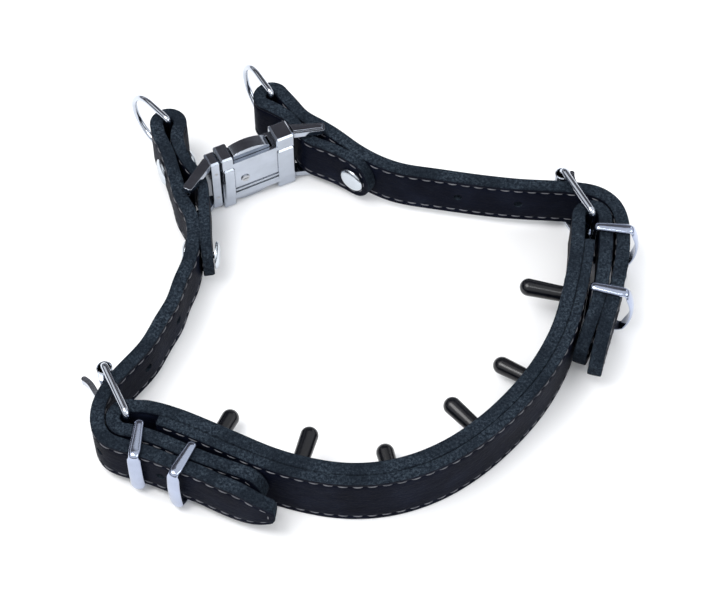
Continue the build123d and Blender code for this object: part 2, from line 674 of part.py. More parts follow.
def make_arms():
    """The two spring arms, each on its own pin, with the pads that are pinched to release the buckle."""
    middle = BUCKLE_THICK / 2
    for name, side in (("upper", 1), ("lower", -1)):
        side_plane = Plane(origin=BUCKLE.from_local_coords((0, middle, 0)), x_dir=BUCKLE.x_dir,
                           z_dir=BUCKLE.y_dir * -side)
        pivot = ARM_PIVOT
        with BuildPart() as arm:
            with BuildSketch(side_plane):
                with BuildLine():
                    Polyline(pivot, *ARM_UNDER)
                    ThreePointArc(ARM_UNDER[-1], ARM_CROWN, ARM_BACK[0])
                    Polyline(*ARM_BACK, pivot)
                make_face()
                with Locations(pivot):
                    Circle(ARM_EYE)
                    Circle(ARM_PIN + RUNNING_GAP, mode=Mode.SUBTRACT)
            extrude(amount=ARM_HALF, both=True)
        save(arm, f"{name}_release_arm")
        with BuildPart(side_plane) as pin:
            with Locations(pivot):
                Cylinder(ARM_PIN, PLUG_DEEP[1] - PLUG_DEEP[0])
        save(pin, f"{name}_arm_pin")


def make_arm_spring():
    """Coil spring that pushes the two arms apart, through the guide tongue's window."""
    with BuildPart() as spring:
        base = Plane(origin=BUCKLE.from_local_coords((SPRING_PLACE, BUCKLE_THICK / 2, -SPRING_LONG / 2)))
        with BuildLine(base) as coil:
            Helix(pitch=SPRING_LONG / SPRING_TURNS, height=SPRING_LONG, radius=SPRING_RADIUS)
        with BuildSketch(Plane(origin=coil.line @ 0, z_dir=coil.line % 0)):
            Circle(SPRING_WIRE)
        sweep(is_frenet=True)
    save(spring, "arm_spring")


make_outer_strap()
make_inner_strap()
make_prongs()
make_left_strap()
make_right_strap()
for side, heel, aim, out in SIDES:
    make_frame(f"{side}_frame", heel, aim)
    make_roller(f"{side}_roller", heel, aim)
    make_tongue(f"{side}_tongue", heel, aim, out)
for keeper in KEEPERS:
    make_keeper(*keeper)
make_d_ring("left_d_ring", LEFT_LOOP, LEFT_RING_AIM)
make_d_ring("right_d_ring", RIGHT_LOOP, RIGHT_RING_AIM)
for rivet in LEFT_RIVETS + RIGHT_RIVETS:
    make_rivet(*rivet)
make_housing()
make_housing_screw()
make_plug()
make_arms()
make_arm_spring()
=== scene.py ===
import math
import bpy
import numpy as np
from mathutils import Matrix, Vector


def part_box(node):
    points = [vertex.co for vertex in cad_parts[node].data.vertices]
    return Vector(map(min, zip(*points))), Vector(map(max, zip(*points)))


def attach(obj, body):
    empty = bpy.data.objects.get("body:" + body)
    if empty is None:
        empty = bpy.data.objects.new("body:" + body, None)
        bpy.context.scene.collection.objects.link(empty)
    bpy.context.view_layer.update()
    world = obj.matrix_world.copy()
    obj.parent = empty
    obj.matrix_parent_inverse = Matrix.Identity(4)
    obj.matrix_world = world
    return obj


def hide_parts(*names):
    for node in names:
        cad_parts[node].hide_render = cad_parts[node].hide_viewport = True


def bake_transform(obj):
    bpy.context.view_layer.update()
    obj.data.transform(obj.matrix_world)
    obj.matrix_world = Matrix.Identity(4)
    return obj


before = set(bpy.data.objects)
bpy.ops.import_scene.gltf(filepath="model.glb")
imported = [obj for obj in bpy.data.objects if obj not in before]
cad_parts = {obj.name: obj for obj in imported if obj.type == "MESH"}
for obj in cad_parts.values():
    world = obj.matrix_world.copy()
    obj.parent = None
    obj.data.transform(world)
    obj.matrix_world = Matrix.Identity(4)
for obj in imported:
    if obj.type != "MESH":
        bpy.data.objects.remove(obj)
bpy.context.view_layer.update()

# Plan lengths are in mm, as in the CAD, and PLAN_CENTRE moves them into the frame.
PLAN_CENTRE = (3.44, -0.3)
STRAP_LOW, STRAP_TOP = 5.5, 30.5
STRAP_MIDDLE = (STRAP_LOW + STRAP_TOP) / 2
STRAP_HALF = (STRAP_TOP - STRAP_LOW) / 2
STRAP_THICK, RETURN_THICK = 6.4, 5.2
LINER_THICK, OUTER_THICK = 6.3, 4.7
BAND_HIGH = 32.0
OUTER_START, OUTER_STOP = 14.5, 13.5
FOLD_HOLE, LOOP_HOLE = 3.1, 2.6
LEFT_HEEL, RIGHT_HEEL = (-102.0, -82.3), (109.6, 27.3)
LEFT_LOOP, RIGHT_LOOP = (-92.7, 83.6), (-43.0, 100.4)
# Where the folds start and how far they turn, in degrees
LEFT_FOLD, RIGHT_FOLD = (262, -164), (172, -164)
LEFT_LOOP_TURN, RIGHT_LOOP_TURN = (-10, 205), (232, -194)
LEFT_HOLES = [(-86.5, -22), (-111.5, -91), (-86.1, -102.5), (-98, -47)]
RIGHT_HOLES = [(48.4, 50.4), (76.4, 46.4)]
# Tongue slots: reach along the buckle's frame, and width outwards from its heel bar
LINER_SLOT = ((-4.2, 16), (-4.5, 8.0))
STRAP_SLOT = ((4, 24), (0.7, 12.0))
# Heel bar, direction of the frame and the side on which the tongue rides, for each roller buckle
LEFT_BUCKLE = (LEFT_HEEL, (-0.42, 0.9075), 1)
RIGHT_BUCKLE = (RIGHT_HEEL, (-0.443, 0.8965), -1)

BAND_INNER = [
    (-101.5, -72.9), (-88, -75.6), (-74, -80.8), (-61, -87), (-47.6, -93.6), (-36, -98.8), (-22, -103.2),
    (-4, -106), (18, -103.3), (35, -96), (51.5, -84), (63, -72.6), (74, -59), (83.4, -43.2),
    (88.6, -31), (92.4, -18), (96, -3), (98.7, 12), (100.2, 27.3),
]
LEFT_CHAPE = [(-102, -88.55), (-90, -92.2), (-78, -97.8), (-66, -103.2), (-54, -107.9), (-40.5, -113.4)]
RIGHT_CHAPE = [(115.85, 27.3), (115.5, 14), (113.6, 0), (110.6, -15.2), (104, -35), (100.2, -44.5)]
LEFT_STRAP = [
    (-98.3, 82.1), (-96.6, 76), (-93.6, 69.5), (-90.9, 62), (-88.6, 54), (-86.8, 48), (-85.5, 42.5),
    (-83, 36.5), (-80, 30.5), (-78, 24), (-77.3, 17), (-77.7, 9), (-79.4, 0), (-82.3, -9), (-85, -19.7),
    (-89.6, -30.2), (-95.5, -43.5), (-103, -54.1), (-111.8, -67.3), (-114.7, -75.4), (-115.2, -82),
    (-113.5, -88.8), (-109.6, -93.4), (-104.9, -95.6), (-100, -97.2), (-91.2, -100.2), (-82.1, -104.1),
    (-69.2, -109.6), (-60.2, -114.2), (-51.4, -118.2), (-42.5, -121.8), (-36, -123),
]
LEFT_INNER = [
    (-87.1, 82.1), (-88.1, 76.5), (-87, 70.5), (-84.4, 64), (-81, 58), (-77, 52.5), (-74.6, 47), (-73.7, 40),
    (-73.2, 32), (-72.4, 23.5), (-71.7, 14), (-70.2, 5),
]
RIGHT_STRAP = [
    (-38.4, 103.6), (-31.4, 93.9), (-27.8, 89.1), (-20.8, 83.8), (-11.1, 76.5), (-3.8, 69.9), (4, 63.8),
    (18.3, 56.4), (33.4, 53), (57.3, 48.8), (76.2, 46.4), (91.2, 45.4), (104.8, 44.1), (113, 41.8),
    (120.5, 35), (123.4, 26), (123.5, 15.5), (122.3, 5), (118.5, -11.6), (111, -35.8), (106.8, -51),
]
RIGHT_INNER = [
    (-46.2, 95.9), (-40.5, 92.6), (-36, 89.3), (-31.5, 84.2), (-27.9, 78.5), (-24, 73.9), (-17.6, 70.5),
    (-7.8, 65.2), (-2.5, 61.5), (2.5, 57.8), (6, 54.8),
]


def place(x, y, z):
    """A plan place in mm as a point of the frame in metres."""
    return ((x - PLAN_CENTRE[0]) / 1000, (y - PLAN_CENTRE[1]) / 1000, z / 1000)


# ---------------------------------------------------------------- materials

def material(name):
    """New node material, its tree, shader and object coordinates."""
    made = bpy.data.materials.new(name)
    made.use_nodes = True
    tree = made.node_tree
    shader = tree.nodes["Principled BSDF"]
    where = tree.nodes.new("ShaderNodeTexCoord").outputs["Object"]
    return made, tree, shader, where


def noise(tree, where, scale, detail=4.0, rough=0.55, stretch=None):
    """Noise at the object's coordinates, which stretch may scale."""
    if stretch:
        mapping = tree.nodes.new("ShaderNodeMapping")
        mapping.inputs["Scale"].default_value = stretch
        tree.links.new(where, mapping.inputs["Vector"])
        where = mapping.outputs["Vector"]
    n = tree.nodes.new("ShaderNodeTexNoise")
    n.inputs["Scale"].default_value = scale
    n.inputs["Detail"].default_value = detail
    n.inputs["Roughness"].default_value = rough
    tree.links.new(where, n.inputs["Vector"])
    return n.outputs["Fac"]


def cells(tree, where, scale):
    """Distance to the nearest of many scattered points."""
    n = tree.nodes.new("ShaderNodeTexVoronoi")
    n.inputs["Scale"].default_value = scale
    tree.links.new(where, n.inputs["Vector"])
    return n.outputs["Distance"]


def ramp(tree, value, stops):
    """Colour ramp from (position, colour) stops."""
    n = tree.nodes.new("ShaderNodeValToRGB")
    n.color_ramp.elements[0].position, n.color_ramp.elements[0].color = stops[0][0], (*stops[0][1], 1)
    n.color_ramp.elements[1].position, n.color_ramp.elements[1].color = stops[-1][0], (*stops[-1][1], 1)
    for position, colour in stops[1:-1]:
        n.color_ramp.elements.new(position).color = (*colour, 1)
    tree.links.new(value, n.inputs["Fac"])
    return n.outputs["Color"]


def spread(tree, value, low, high):
    """A value from 0 to 1 spread between two numbers."""
    n = tree.nodes.new("ShaderNodeMapRange")
    n.inputs["To Min"].default_value = low
    n.inputs["To Max"].default_value = high
    tree.links.new(value, n.inputs["Value"])
    return n.outputs["Result"]


def mixed(tree, factor, a, b):
    """Mix of two colours, where each input is a socket or a constant."""
    n = tree.nodes.new("ShaderNodeMix")
    n.data_type = "RGBA"
    for value, socket in ((factor, n.inputs["Factor"]), (a, n.inputs["A"]), (b, n.inputs["B"])):
        if isinstance(value, bpy.types.NodeSocket):
            tree.links.new(value, socket)
        else:
            socket.default_value = value
    return n.outputs["Result"]


def bump(tree, heights):
    """Chain of bumps from (height socket, strength, distance in metres) entries."""
    normal = None
    for height, strength, distance in heights:
        n = tree.nodes.new("ShaderNodeBump")
        n.inputs["Strength"].default_value = strength
        n.inputs["Distance"].default_value = distance
        tree.links.new(height, n.inputs["Height"])
        if normal is not None:
            tree.links.new(normal, n.inputs["Normal"])
        normal = n.outputs["Normal"]
    return normal


def leather_face():
    """Smooth near-black grain side: fine pores, soft wrinkles, scuffs and rubbed patches."""
    made, tree, shader, where = material("leather_face")
    broad = noise(tree, where, 48, 4, 0.6)
    pores = cells(tree, where, 1300)
    grain = noise(tree, where, 900, 5, 0.6)
    wrinkle = noise(tree, where, 170, 4, 0.6, (1, 1, 2.6))
    base = ramp(tree, broad, [(0.3, (0.0022, 0.0030, 0.0072)), (0.5, (0.0036, 0.0049, 0.0112)),
                              (0.72, (0.0070, 0.0094, 0.0190))])
    scuff = ramp(tree, noise(tree, where, 330, 7, 0.8), [(0.56, (0, 0, 0)), (0.78, (0.55, 0.55, 0.55))])
    base = mixed(tree, scuff, base, (0.016, 0.020, 0.031, 1))
    pits = ramp(tree, pores, [(0.05, (0.45, 0.45, 0.45)), (0.3, (0, 0, 0))])
    base = mixed(tree, pits, base, (0.0022, 0.0025, 0.0040, 1))
    tree.links.new(base, shader.inputs["Base Color"])
    tree.links.new(spread(tree, grain, 0.40, 0.66), shader.inputs["Roughness"])
    tree.links.new(bump(tree, [(pores, 0.45, 0.00016), (grain, 0.45, 0.00012), (wrinkle, 0.6, 0.00045)]),
                   shader.inputs["Normal"])
    shader.inputs["IOR"].default_value = 1.085
    return made


def leather_edge():
    """Cut edge: matt charcoal fibre with a blue cast, mottled, with darker burnished stretches."""
    made, tree, shader, where = material("leather_edge")
    fibre = noise(tree, where, 2100, 6, 0.8)
    clumps = noise(tree, where, 780, 6, 0.8)
    broad = noise(tree, where, 60, 3)
    base = ramp(tree, clumps, [(0.38, (0.0030, 0.0048, 0.0080)), (0.5, (0.0140, 0.0205, 0.0300)),
                               (0.62, (0.0400, 0.0540, 0.0700))])
    burnish = ramp(tree, broad, [(0.42, (0, 0, 0)), (0.62, (0.72, 0.72, 0.72))])
    base = mixed(tree, burnish, base, (0.0060, 0.0090, 0.0140, 1))
    frayed = ramp(tree, fibre, [(0.56, (0, 0, 0)), (0.72, (0.75, 0.75, 0.75))])
    base = mixed(tree, frayed, base, (0.066, 0.085, 0.108, 1))
    tree.links.new(base, shader.inputs["Base Color"])
    tree.links.new(spread(tree, clumps, 0.78, 0.98), shader.inputs["Roughness"])
    tree.links.new(bump(tree, [(fibre, 0.9, 0.00026), (clumps, 0.9, 0.0006)]), shader.inputs["Normal"])
    shader.inputs["IOR"].default_value = 1.12
    return made


def thread_material():
    """Waxed grey thread with a twisted ply."""
    made, tree, shader, where = material("thread")
    ply = tree.nodes.new("ShaderNodeTexWave")
    ply.inputs["Scale"].default_value = 900
    ply.inputs["Distortion"].default_value = 3
    ply.bands_direction = "DIAGONAL"
    tree.links.new(where, ply.inputs["Vector"])
    base = ramp(tree, noise(tree, where, 260, 4, 0.7),
                [(0.3, (0.070, 0.073, 0.086)), (0.7, (0.200, 0.205, 0.225))])
    tree.links.new(base, shader.inputs["Base Color"])
    tree.links.new(bump(tree, [(ply.outputs["Fac"], 0.5, 0.00012)]), shader.inputs["Normal"])
    tree.links.new(spread(tree, ply.outputs["Fac"], 0.5, 0.8), shader.inputs["Roughness"])
    shader.inputs["Specular IOR Level"].default_value = 0.2
    return made


def metal(name, tint, rough, scratch, edge=0.0):
    """Plated metal with hairline scratches, dull smears, painted shade in its corners and edges worn soft."""
    made, tree, shader, where = material(name)
    shader.inputs["Metallic"].default_value = 1.0
    smear = noise(tree, where, 90, 4, 0.6)
    hair = noise(tree, where, 700, 3, 0.7, (1, 1, 0.06))
    base = ramp(tree, smear, [(0.3, tuple(0.84 * c for c in tint)), (0.7, tint)])
    # Painted shade: ambient occlusion darkens the base colour to near black in corners and crevices.
    corner = tree.nodes.new("ShaderNodeAmbientOcclusion")
    corner.samples = 6
    corner.only_local = True
    corner.inputs["Distance"].default_value = 0.0022
    painted_corner_shade = ramp(tree, corner.outputs["AO"], [(0.35, (0.9, 0.9, 0.9)), (0.85, (0, 0, 0))])
    base = mixed(tree, painted_corner_shade, base, (0.03, 0.032, 0.036, 1))
    tree.links.new(base, shader.inputs["Base Color"])
    tree.links.new(spread(tree, smear, rough * 0.6, rough * 1.7), shader.inputs["Roughness"])
    peel = tree.nodes.new("ShaderNodeBump")
    peel.inputs["Strength"].default_value = scratch
    peel.inputs["Distance"].default_value = 0.00005
    tree.links.new(hair, peel.inputs["Height"])
    if edge:
        round_edge = tree.nodes.new("ShaderNodeBevel")
        round_edge.samples = 6
        round_edge.inputs["Radius"].default_value = edge
        tree.links.new(round_edge.outputs["Normal"], peel.inputs["Normal"])
    tree.links.new(peel.outputs["Normal"], shader.inputs["Normal"])
    return made


def rubber():
    """Dipped black rubber: glossy, with slight waviness and specks of dust."""
    made, tree, shader, where = material("cap_rubber_skin")
    broad = noise(tree, where, 240, 3)
    specks = noise(tree, where, 1400, 2)
    base = ramp(tree, specks, [(0.5, (0.0012, 0.0016, 0.0034)), (0.75, (0.0055, 0.0065, 0.0100))])
    tree.links.new(base, shader.inputs["Base Color"])
    tree.links.new(spread(tree, broad, 0.14, 0.30), shader.inputs["Roughness"])
    tree.links.new(bump(tree, [(broad, 0.25, 0.0003)]), shader.inputs["Normal"])
    shader.inputs["IOR"].default_value = 1.45
    return made


def floor_material():
    """Pale, faintly uneven paper."""
    made, tree, shader, where = material("floor_paper")
    base = ramp(tree, noise(tree, where, 8, 3), [(0.3, (0.88, 0.88, 0.885)), (0.7, (0.92, 0.92, 0.925))])
    tree.links.new(base, shader.inputs["Base Color"])
    shader.inputs["Roughness"].default_value = 0.9
    return made


FACE = leather_face()
EDGE = leather_edge()
THREAD = thread_material()
CHROME = metal("bright_chrome", (0.47, 0.51, 0.58), 0.10, 0.12, 0.00035)
WIRE_CHROME = metal("wire_chrome", (0.56, 0.60, 0.67), 0.10, 0.10)
KEEPER_CHROME = metal("keeper_chrome", (0.42, 0.47, 0.60), 0.13, 0.10)
# Painted shade: near-black metal for the inside of the roller tubes, where shade falls.
HOLLOW_PAINTED_SHADE = metal("roller_hollow_painted_shade", (0.035, 0.036, 0.042), 0.45, 0.3)
NICKEL = metal("rivet_nickel_skin", (0.60, 0.65, 0.70), 0.20, 0.10)
STEEL = metal("plain_steel_skin", (0.45, 0.46, 0.48), 0.28, 0.3)
RUBBER = rubber()


# ---------------------------------------------------------------- paths

def smooth(points, step=1.0):
    """Natural cubic curve through plan points, at an even step."""
    p = np.array(points, float)
    t = np.concatenate([[0], np.cumsum(np.linalg.norm(np.diff(p, axis=0), axis=1))])
    h = np.diff(t)
    n = len(p)
    a = np.zeros((n, n))
    b = np.zeros((n, 2))
    a[0, 0] = a[-1, -1] = 1
    for i in range(1, n - 1):
        a[i, i - 1:i + 2] = h[i - 1], 2 * (h[i - 1] + h[i]), h[i]
        b[i] = 6 * ((p[i + 1] - p[i]) / h[i] - (p[i] - p[i - 1]) / h[i - 1])
    m = np.linalg.solve(a, b)
    fine = np.linspace(0, t[-1], 24 * n)
    k = np.clip(np.searchsorted(t, fine, side="right") - 1, 0, n - 2)
    u = (fine - t[k])[:, None]
    hk = h[k][:, None]
    out = (p[k] + u * ((p[k + 1] - p[k]) / hk - hk * (2 * m[k] + m[k + 1]) / 6)
           + u ** 2 * m[k] / 2 + u ** 3 * (m[k + 1] - m[k]) / (6 * hk))
    return even(out, step)


def even(line, step):
    """A polyline resampled at an even step."""
    s = np.concatenate([[0], np.cumsum(np.linalg.norm(np.diff(line, axis=0), axis=1))])
    count = max(2, int(round(s[-1] / step)) + 1)
    at = np.linspace(0, s[-1], count)
    return np.stack([np.interp(at, s, line[:, 0]), np.interp(at, s, line[:, 1])], axis=1)


def arc(centre, radius, start, turn, step=1.0):
    """Plan points round a centre, by degrees."""
    count = max(3, int(abs(math.radians(turn)) * radius / step) + 1)
    angles = np.radians(np.linspace(start, start + turn, count))
    return np.stack([centre[0] + radius * np.cos(angles), centre[1] + radius * np.sin(angles)], axis=1)


class Path:
    """Plan line with its length and left-hand normals."""

    def __init__(self, line):
        self.line = line
        self.s = np.concatenate([[0], np.cumsum(np.linalg.norm(np.diff(line, axis=0), axis=1))])
        aim = np.gradient(line, axis=0)
        aim /= np.linalg.norm(aim, axis=1)[:, None]
        self.aim = aim
        self.left = np.stack([-aim[:, 1], aim[:, 0]], axis=1)
        self.length = self.s[-1]

    def at(self, s, offset=0.0):
        """Place at a distance along the line, moved to the left."""
        x, y = (np.interp(s, self.s, self.line[:, i]) for i in (0, 1))
        nx, ny = (np.interp(s, self.s, self.left[:, i]) for i in (0, 1))
        return x + nx * offset, y + ny * offset


# ---------------------------------------------------------------- leather

ROUND = 0.75                # radius of a cut edge's corners
CROWN = 0.15                # the cut edge's swell at its middle
# A sewn groove on each face: distance in from the rounded corner, and depth
GROOVE = [(6.0, 0), (3.1, 0), (2.6, 0.12), (2.1, 0.34), (1.6, 0.12), (1.1, 0)]
SEAM_INSET = ROUND + 2.1    # height of the groove's floor, in from the cut edge
WIDE_HALF = 12.5            # half height at which the groove has its full size


def section(half, low, high):
    """Closed outline of a strap's section, as (out, height, is edge) entries."""
    middle, span = (low + high) / 2, (high - low) / 2
    corner = min(ROUND, half * 0.45, span * 0.4)
    shrink = min(1, span / WIDE_HALF)
    quarter = [(half, middle, False)]
    quarter += [(half - dip * shrink, high - corner - down * shrink, False) for down, dip in GROOVE]
    for a in np.radians((0, 22, 45, 68, 90)):
        quarter.append((half - corner + corner * math.cos(a), high - corner + corner * math.sin(a), a > 0.2))
    quarter.append((half * 0.35, high + CROWN, True))
    outline = list(quarter)
    outline += [(-u, z, e) for u, z, e in reversed(quarter[1:-1])]
    outline += [(-u, 2 * middle - z, e) for u, z, e in quarter]
    outline += [(u, 2 * middle - z, e) for u, z, e in reversed(quarter[1:-1])]
    return outline


# Unevenness of the leather: (size, wave length) of the long and the short wave
EDGE_WAVES = ((0.13, 13), (0.05, 4.3))
FACE_WAVES = ((0.12, 17), (0.05, 5.1))


def waves(s, parts, starts):
    """Sum of a long and a short wave at a distance along a strap."""
    return sum(size * math.sin(s / length + start) for (size, length), start in zip(parts, starts))


def strap(name, path, thick, low, high, seed=0):
    """Leather strap along a path. thick, low and high are numbers or functions of the distance along it."""
    get = [f if callable(f) else (lambda s, f=f: f) for f in (thick, low, high)]
    rng = np.random.default_rng(seed)
    wave = rng.uniform(0, 6.28, 4)
    verts, faces, marks = [], [], []
    rings = len(path.s)
    for i, s in enumerate(path.s):
        t, lo, hi = (f(s) for f in get)
        wobble = waves(s, EDGE_WAVES, wave[:2])
        swell = waves(s, FACE_WAVES, wave[2:])
        ring = section(t / 2, lo, hi)
        n = len(ring)
        for u, z, e in ring:
            out = u + (swell if abs(u) > t * 0.3 and e is False else 0) * (1 if u > 0 else -1) * 0.5
            up = z + (wobble if z > (lo + hi) / 2 else -wobble * 0.4) * (0.7 if e else 0.2)
            x = path.line[i, 0] + path.left[i, 0] * out
            y = path.line[i, 1] + path.left[i, 1] * out
            verts.append(place(x, y, max(up, 0.02)))
    for i in range(rings - 1):
        for j in range(n):
            k = (j + 1) % n
            faces.append((i * n + j, i * n + k, (i + 1) * n + k, (i + 1) * n + j))
            marks.append(1 if ring[j][2] or ring[k][2] else 0)
    faces.append(tuple(range(n)))
    marks.append(1)
    faces.append(tuple(reversed(range((rings - 1) * n, rings * n))))
    marks.append(1)
    return piece(name, verts, faces, (FACE, EDGE), marks)


def piece(name, verts, faces, materials, marks=None, smooth_shade=True):
    """Mesh object from its points and faces."""
    mesh = bpy.data.meshes.new(name)
    mesh.from_pydata([tuple(v) for v in verts], [], faces)
    for m in materials:
        mesh.materials.append(m)
    for i, poly in enumerate(mesh.polygons):
        poly.use_smooth = smooth_shade
        if marks is not None:
            poly.material_index = marks[i]
    mesh.update()
    obj = bpy.data.objects.new(name, mesh)
    bpy.context.scene.collection.objects.link(obj)
    bpy.context.view_layer.objects.active = obj
    select_only(obj)
    bpy.ops.object.mode_set(mode="EDIT")
    bpy.ops.mesh.select_all(action="SELECT")
    bpy.ops.mesh.normals_make_consistent(inside=False)
    bpy.ops.object.mode_set(mode="OBJECT")
    return obj


def select_only(obj):
    """Make a piece the only selected one."""
    for o in bpy.context.selected_objects:
        o.select_set(False)
    obj.select_set(True)


STITCH_PITCH, STITCH_LONG = 6.3, 4.3
STITCH_RINGS, STITCH_SIDES = 7, 6
STITCH_SINK, STITCH_RISE = -0.46, 0.40          # depth of a stitch's ends, and how far its middle comes up
STITCH_END, STITCH_SWELL = 0.24, 0.07           # radius of the ends, and what the middle adds


def stitches(name, path, offset, rows):
    """Grey stitches on a strap's face. rows are lists of (distance, height) points that the seam follows."""
    verts, faces = [], []
    side = 1 if offset > 0 else -1
    for row in rows:
        row = np.array(row, float)
        run = np.concatenate([[0], np.cumsum(np.linalg.norm(np.diff(row, axis=0), axis=1))])
        count = int(run[-1] // STITCH_PITCH)
        spare = (run[-1] - count * STITCH_PITCH) / 2
        for k in range(count):
            begin = (k + 0.5) * STITCH_PITCH - STITCH_LONG / 2 + spare
            first = len(verts)
            for i in range(STITCH_RINGS):
                f = i / (STITCH_RINGS - 1)
                arch = math.sin(math.pi * f)
                lift = STITCH_SINK + STITCH_RISE * arch ** 0.5
                radius = STITCH_END + STITCH_SWELL * arch
                s, z = (np.interp(begin + f * STITCH_LONG, run, row[:, q]) for q in (0, 1))
                ahead = begin + min(1, f + 0.1) * STITCH_LONG
                next_s, next_z = (np.interp(ahead, run, row[:, q]) for q in (0, 1))
                along = np.array([next_s - s, next_z - z])
                along = along / (np.linalg.norm(along) or 1)
                x0, y0 = path.at(s, offset + side * lift)
                nx, ny = (np.interp(s, path.s, path.left[:, q]) for q in (0, 1))
                ax, ay = ny, -nx
                for a in np.radians(np.arange(STITCH_SIDES) * 360 / STITCH_SIDES):
                    out, across = radius * math.cos(a), radius * 1.15 * math.sin(a)
                    px = x0 + nx * side * out - ax * along[1] * across
                    py = y0 + ny * side * out - ay * along[1] * across
                    verts.append(place(px, py, z + along[0] * across))
            for i in range(STITCH_RINGS - 1):
                a, b = first + i * STITCH_SIDES, first + (i + 1) * STITCH_SIDES
                for j in range(STITCH_SIDES):
                    k2 = (j + 1) % STITCH_SIDES
                    faces.append((a + j, a + k2, b + k2, b + j))
            last = first + (STITCH_RINGS - 1) * STITCH_SIDES
            faces.append(tuple(first + j for j in range(STITCH_SIDES)))
            faces.append(tuple(last + j for j in reversed(range(STITCH_SIDES))))
    return piece(name, verts, faces, (THREAD,))


def tip_seam(start, end, radius):
    """Seam from a place on a strap along its lower edge, round its tip and back along the upper edge."""
    way = math.copysign(1, end - start)
    middle = end - way * radius
    reach = STRAP_HALF - SEAM_INSET
    row = [(start, STRAP_MIDDLE - reach), (middle, STRAP_MIDDLE - reach)]
    for a in np.radians(range(-80, 90, 10)):
        row.append((middle + way * radius * math.cos(a), STRAP_MIDDLE + reach * math.sin(a)))
    return row + [(middle, STRAP_MIDDLE + reach), (start, STRAP_MIDDLE + reach)]


def tail_seam(start, end):
    """Seam from a place on a strap along its lower edge, round its pointed tail and back."""
    share = np.linspace(0, 1, 30) ** 0.5
    places = start + (end - SEAM_INSET - start) * share
    reach = [tail_half(abs(end - s)) - SEAM_INSET for s in places]
    lower = [(s, STRAP_MIDDLE - r) for s, r in zip(places, reach)]
    upper = [(s, STRAP_MIDDLE + r) for s, r in zip(places, reach)]
    return lower + upper[::-1]


def edge_seams(start, end, low=STRAP_LOW, high=STRAP_TOP):
    """Two seams, one beside each edge of a strap."""
    return [[(start, z), (end, z)] for z in (low + SEAM_INSET, high - SEAM_INSET)]


def cut_out(obj, cutter):
    """Take a closed mesh away from a piece and delete it."""
    cut = obj.modifiers.new("cut", "BOOLEAN")
    cut.object = cutter
    cut.operation = "DIFFERENCE"
    cut.solver = "EXACT"
    bpy.context.view_layer.objects.active = obj
    select_only(obj)
    bpy.ops.object.modifier_apply(modifier=cut.name)
    bpy.data.objects.remove(cutter, do_unlink=True)


def prism(rings):
    """Closed mesh between two rings of points, with the cut edge's material on every side."""
    n = len(rings[0])
    faces = [(i, (i + 1) % n, n + (i + 1) % n, n + i) for i in range(n)]
    faces += [tuple(reversed(range(n))), tuple(range(n, 2 * n))]
    return piece("cutter", rings[0] + rings[1], faces, (FACE, EDGE), [1] * len(faces))


CUTTER_REACH = 9            # how far a hole's cutter goes past a strap's middle, on each side


def punch(obj, path, s, radius=2.1):
    """Punched hole through a strap at a distance along its path."""
    rings = []
    x, y = path.at(s)
    nx, ny = (np.interp(s, path.s, path.left[:, q]) for q in (0, 1))
    for side in (-CUTTER_REACH, CUTTER_REACH):
        ring = []
        for a in np.radians(range(0, 360, 18)):
            along, up = radius * math.cos(a), radius * math.sin(a)
            ring.append(place(x + nx * side + ny * along, y + ny * side - nx * along, STRAP_MIDDLE + up))
        rings.append(ring)
    cut_out(obj, prism(rings))


def tongue_slot(obj, buckle, reach, width, high=5.6):
    """Slot for a buckle's tongue: reach is along the frame, and width is outwards from the heel bar."""
    heel, aim, side = buckle
    rings = []
    for z in (STRAP_MIDDLE - high / 2, STRAP_MIDDLE + high / 2):
        ring = []
        for x, y in ((reach[0], width[0]), (reach[1], width[0]), (reach[1], width[1]), (reach[0], width[1])):
            y *= side
            ring.append(place(heel[0] + aim[0] * x - aim[1] * y, heel[1] + aim[1] * x + aim[0] * y, z))
        rings.append(ring)
    cut_out(obj, prism(rings))


def soften(obj, angle=40):
    """Smooth shading with sharp edges kept at holes."""
    select_only(obj)
    bpy.context.view_layer.objects.active = obj
    bpy.ops.object.shade_smooth_by_angle(angle=math.radians(angle))


band_line = smooth(BAND_INNER)
band = Path(band_line)


def offset_line(path, distance):
    """A path's line moved to its left."""
    return path.line + path.left * distance


def length_of(line):
    """Length of a polyline."""
    return np.linalg.norm(np.diff(line, axis=0), axis=1).sum()


# The liner: left chape, fold, band, fold and right chape in one strip.
mid_band = offset_line(band, -LINER_THICK / 2)
left_leg = smooth(LEFT_CHAPE)[::-1]
right_leg = smooth(RIGHT_CHAPE)
fold_radius = FOLD_HOLE + LINER_THICK / 2
left_fold = arc(LEFT_HEEL, fold_radius, *LEFT_FOLD)
right_fold = arc(RIGHT_HEEL, fold_radius, *RIGHT_FOLD)
liner = Path(even(np.concatenate([left_leg, left_fold, mid_band[1:-1], right_fold, right_leg]), 1.0))
left_length = length_of(left_leg)
fold_length = math.pi * fold_radius
band_start = left_length + fold_length
band_end = band_start + band.length


def ease(s, centre, wide):
    """0 before a place along a strap, 1 after it."""
    f = min(1.0, max(0.0, (s - centre) / wide + 0.5))
    return f * f * (3 - 2 * f)


BAND_STEP, BAND_STEP_LONG = 5.5, 7          # where the liner grows to the band's height, and over what length


def in_band(s):
    """1 in the band, 0 in the folds and chapes."""
    return (ease(s, band_start + BAND_STEP, BAND_STEP_LONG)
            * (1 - ease(s, band_end - BAND_STEP, BAND_STEP_LONG)))


LINER_TIP, STRAP_TIP, SEAM_TIP = 9, 10, 8           # radii of rounded ends and of the seams round them
TIP_LEAST = 0.14                                    # share of the height left at a rounded tip's very end
TAIL_LONG, TAIL_BLUNT, TAIL_HALF = 20.0, 2.4, 5.2   # a tail: its taper, its blunt end, its half height there
TAIL_LEAST = 0.55                                   # share of that half height left at its very end


def tip_half(left, radius):
    """Half height of a strap with a rounded tip, at a distance from the tip."""
    f = max(0.0, min(1.0, left / radius))
    return STRAP_HALF * max(TIP_LEAST, math.sqrt(1 - (1 - f) ** 2))


